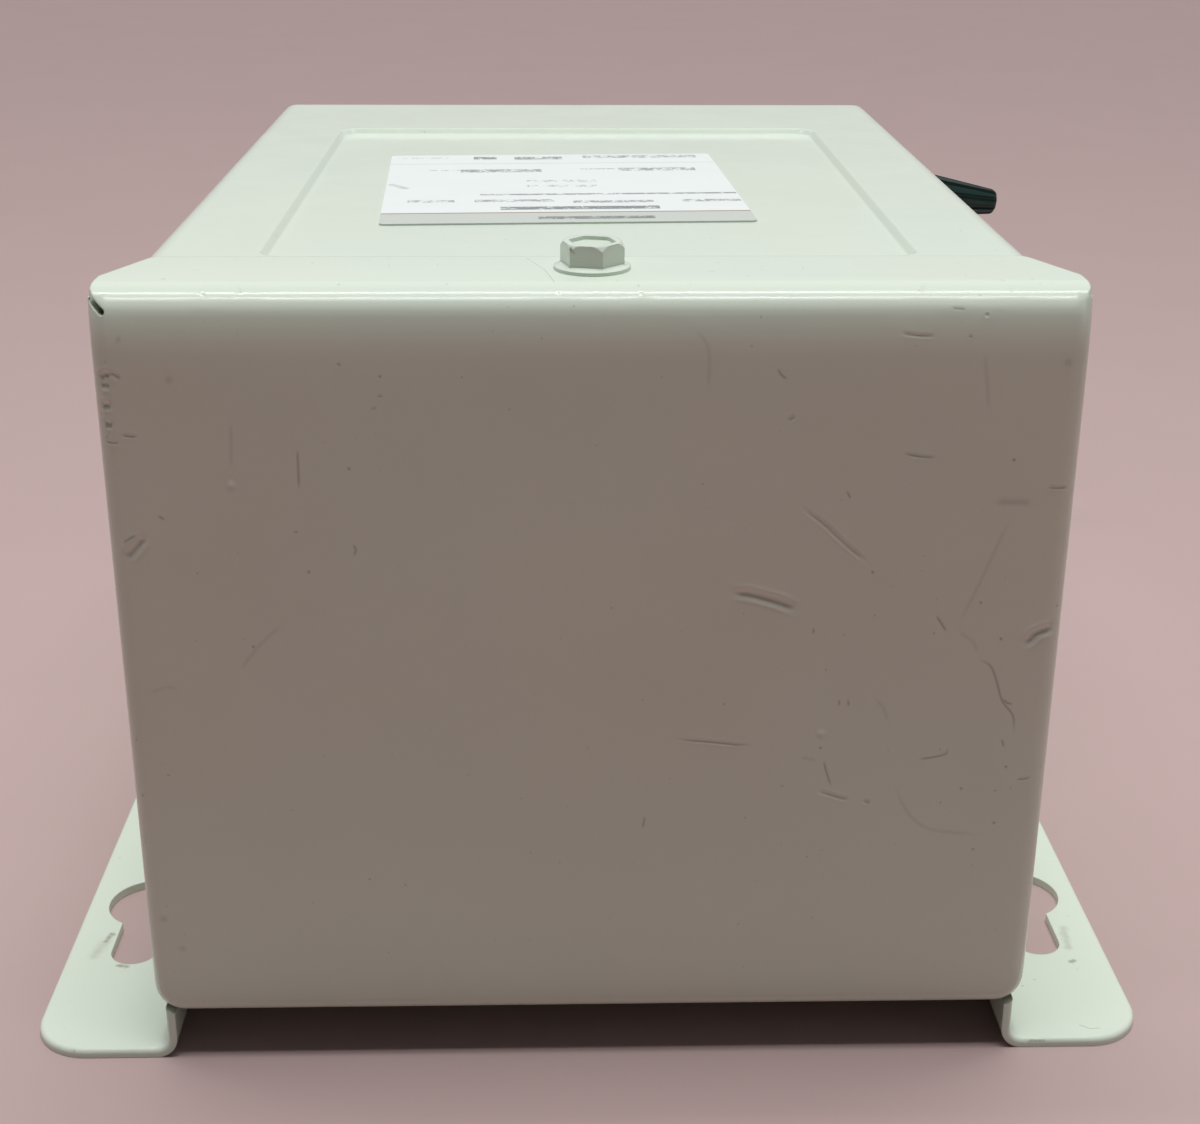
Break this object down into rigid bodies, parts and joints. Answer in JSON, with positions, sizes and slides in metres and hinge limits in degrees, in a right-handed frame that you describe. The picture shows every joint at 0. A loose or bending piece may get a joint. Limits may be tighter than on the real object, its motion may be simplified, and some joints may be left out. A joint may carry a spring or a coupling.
{
  "type": "autotransformer",
  "caption": "Encapsulated dry-type transformer for a wall: a folded steel case with keyhole flanges, a pressed front panel, an end cover held by a hex screw, and core, coil and leads inside.",
  "frame": {"origin": "middle of the case's length and width, on the plane of the mounting flanges' back faces", "axes": "+Z out of the front panel, away from the wall; -Y towards the end that is uppermost on a wall; +X to the right when the uppermost end is nearest"},
  "size_m": [0.1965, 0.2345, 0.1265],
  "materials": {
    "case_paint": "semi-gloss off-white paint, pale grey-green",
    "ground_green": "green lacquer",
    "label_foil": "white printed foil with a grey header strip",
    "core_steel": "stacked electrical steel",
    "bolt_steel": "zinc plate",
    "spacer_board": "pressed insulating board",
    "bobbin_nylon": "moulded nylon",
    "copper_wire": "enamelled copper",
    "coil_paper": "varnished insulating paper",
    "potting_resin": "resin filled with sand",
    "high_lead_sleeve": "black insulation",
    "low_lead_sleeve": "red insulation",
    "cap_nylon": "natural nylon",
    "grommet_rubber": "black rubber",
    "ground_sleeve": "dark green insulation",
    "connector_green": "dark green moulded shell"
  },
  "bodies": {
    "root": {"case_wrapper": "case_paint", "top_cover": "case_paint", "back_plate": "case_paint", "bottom_plate": "case_paint", "cover_screw": "case_paint", "bottom_plate_screws": "case_paint", "ground_screw": "ground_green", "nameplate": "label_foil", "core_e_stack": "core_steel", "core_i_stack": "core_steel", "core_bolts": "bolt_steel", "core_nuts": "bolt_steel", "core_spacers": "spacer_board", "coil_bobbin": "bobbin_nylon", "low_winding": "copper_wire", "high_winding": "copper_wire", "winding_barrier": "coil_paper", "coil_wrap": "coil_paper", "potting_block": "potting_resin", "high_leads": "high_lead_sleeve", "low_leads": "low_lead_sleeve", "lead_caps": "cap_nylon", "lead_grommet": "grommet_rubber", "ground_lead_inner": "ground_sleeve", "ground_lead": "ground_sleeve", "ground_lead_cap": "connector_green"}
  },
  "joints": []
}
